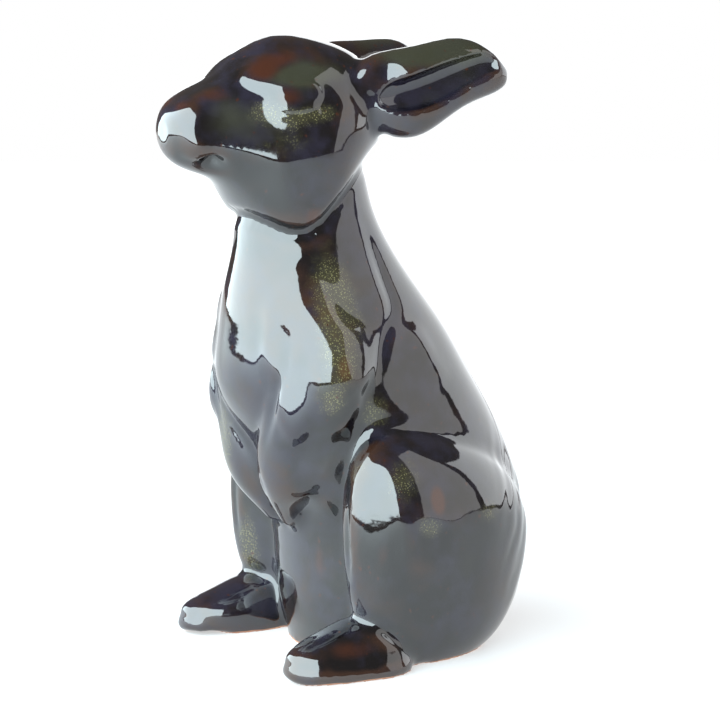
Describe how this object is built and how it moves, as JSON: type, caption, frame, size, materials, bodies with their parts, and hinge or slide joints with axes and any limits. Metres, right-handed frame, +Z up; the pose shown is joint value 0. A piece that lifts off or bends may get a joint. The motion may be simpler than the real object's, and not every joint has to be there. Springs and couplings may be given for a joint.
{
  "type": "rabbit figurine",
  "caption": "Sitting upright rabbit in dark glazed earthenware, hollow, with ears laid back and forelegs hanging, on a small bare clay base with a vent hole.",
  "frame": {"origin": "on the ground, under the middle of the figurine's bounding box", "axes": "+Z up, the rabbit looks along -Y, its own left side is +X"},
  "size_m": [0.0994, 0.141, 0.2101],
  "materials": {
    "glaze": "thick, glossy, near-black brown glaze",
    "bare_clay": "unglazed, fired clay"
  },
  "bodies": {
    "root": {"torso": "glaze", "base_slab": "bare_clay", "head": "glaze", "left_eye": "glaze", "right_eye": "glaze", "left_ear": "glaze", "right_ear": "glaze", "left_foreleg": "glaze", "right_foreleg": "glaze", "left_haunch": "glaze", "right_haunch": "glaze", "left_hind_foot": "glaze", "right_hind_foot": "glaze", "tail": "glaze"}
  },
  "joints": []
}
